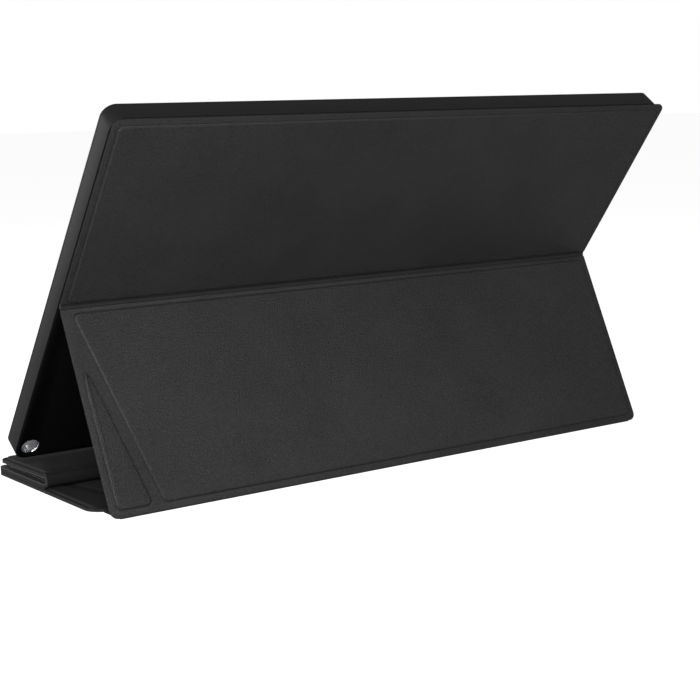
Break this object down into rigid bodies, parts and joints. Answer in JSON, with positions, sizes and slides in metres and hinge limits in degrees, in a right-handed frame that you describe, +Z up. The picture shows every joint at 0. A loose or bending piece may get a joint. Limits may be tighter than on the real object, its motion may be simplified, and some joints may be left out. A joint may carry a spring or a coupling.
{
  "type": "portable monitor with cover",
  "caption": "Slim portable monitor standing in its folding cover, whose creased panels form the stand and the lip that the screen rests on.",
  "frame": {"origin": "on the table, under the middle of the monitor and its cover", "axes": "+X to the screen viewer's right, along the monitor's width; the screen faces -Y; +Z up"},
  "size_m": [0.3596, 0.1598, 0.1994],
  "materials": {
    "case": "fine matt",
    "bezel": "satin",
    "screen_glass": "anti-glare",
    "film": "satin",
    "acrylic": "clear",
    "lamp_strip": "satin",
    "sheet_metal": "brushed",
    "circuit_board": "satin",
    "flat_cable": "satin",
    "screw_steel": "machined",
    "socket_metal": "plated",
    "battery_foil": "satin foil",
    "switch_plastic": "moulded",
    "key_plastic": "fine matt",
    "bright_metal": "polished",
    "magnet": "plated",
    "adhesive": "tacky",
    "board": "plain",
    "cover_skin": "fine grain",
    "cover_lining": "brushed microfibre",
    "crease_skin": "fine grain"
  },
  "bodies": {
    "base": {"base_skin": "cover_skin", "base_board": "board", "base_corner_board": "board", "spine_board": "board", "base_lining": "cover_lining", "front_fold": "crease_skin", "foot_fold": "crease_skin"},
    "leg": {"leg_skin": "cover_skin", "leg_board": "board", "leg_corner_board": "board", "leg_lining": "cover_lining"},
    "monitor": {"rear_shell": "case", "front_bezel": "bezel", "lcd_cell": "screen_glass", "prism_sheet": "film", "diffuser_sheet": "film", "light_guide": "acrylic", "reflector_sheet": "film", "led_bar": "lamp_strip", "backlight_tray": "sheet_metal", "driver_board": "circuit_board", "display_ribbon": "flat_cable", "main_board": "circuit_board", "board_shield": "sheet_metal", "board_screws": "screw_steel", "usb_c_socket": "socket_metal", "micro_hdmi_socket": "socket_metal", "battery_pack": "battery_foil", "key_board": "circuit_board", "key_switches": "switch_plastic", "pen_sleeve": "bright_metal", "case_magnets": "magnet", "bond_pads": "adhesive", "upper_skin": "cover_skin", "upper_board": "board", "upper_lining": "cover_lining", "back_fold": "crease_skin"},
    "flap": {"flap_skin": "cover_skin", "flap_board": "board", "flap_lining": "cover_lining", "lip_fold": "crease_skin"},
    "lip": {"lip_skin": "cover_skin", "lip_board": "board", "lip_lining": "cover_lining", "lip_magnets": "magnet"},
    "power_key": {"power_key": "key_plastic"},
    "menu_key": {"menu_key": "key_plastic"},
    "select_key": {"select_key": "key_plastic"}
  },
  "joints": [
    {"name": "foot_hinge", "type": "hinge", "parent": "base", "child": "leg", "pos_m": [0, 0.05667, 0.0006], "axis": [-1, 0, 0], "range_deg": [0, 106], "deforming": ["foot_fold"]},
    {"name": "back_hinge", "type": "hinge", "parent": "leg", "child": "monitor", "pos_m": [0, 0.01093, 0.10081], "axis": [1, 0, 0], "range_deg": [0, 56.8], "deforming": ["back_fold"]},
    {"name": "front_hinge", "type": "hinge", "parent": "base", "child": "flap", "pos_m": [0, -0.07753, 0.00235], "axis": [1, 0, 0], "range_deg": [0, 108.2], "deforming": ["front_fold"]},
    {"name": "lip_hinge", "type": "hinge", "parent": "flap", "child": "lip", "pos_m": [0, -0.01953, 0.0064], "axis": [-1, 0, 0], "range_deg": [0, 44.6], "deforming": ["lip_fold"]},
    {"name": "power_key_press", "type": "slide", "parent": "monitor", "child": "power_key", "axis": [1, 0, 0], "range_m": [0, 0.0004], "stiffness_N_per_m": 500},
    {"name": "menu_key_press", "type": "slide", "parent": "monitor", "child": "menu_key", "axis": [1, 0, 0], "range_m": [0, 0.0004], "stiffness_N_per_m": 500},
    {"name": "select_key_press", "type": "slide", "parent": "monitor", "child": "select_key", "axis": [1, 0, 0], "range_m": [0, 0.0004], "stiffness_N_per_m": 500}
  ],
  "couplings": [
    {"joint": "back_hinge", "follows": "foot_hinge", "ratio": 0.5355},
    {"joint": "front_hinge", "follows": "foot_hinge", "ratio": 1.02},
    {"joint": "lip_hinge", "follows": "foot_hinge", "ratio": 0.42}
  ]
}
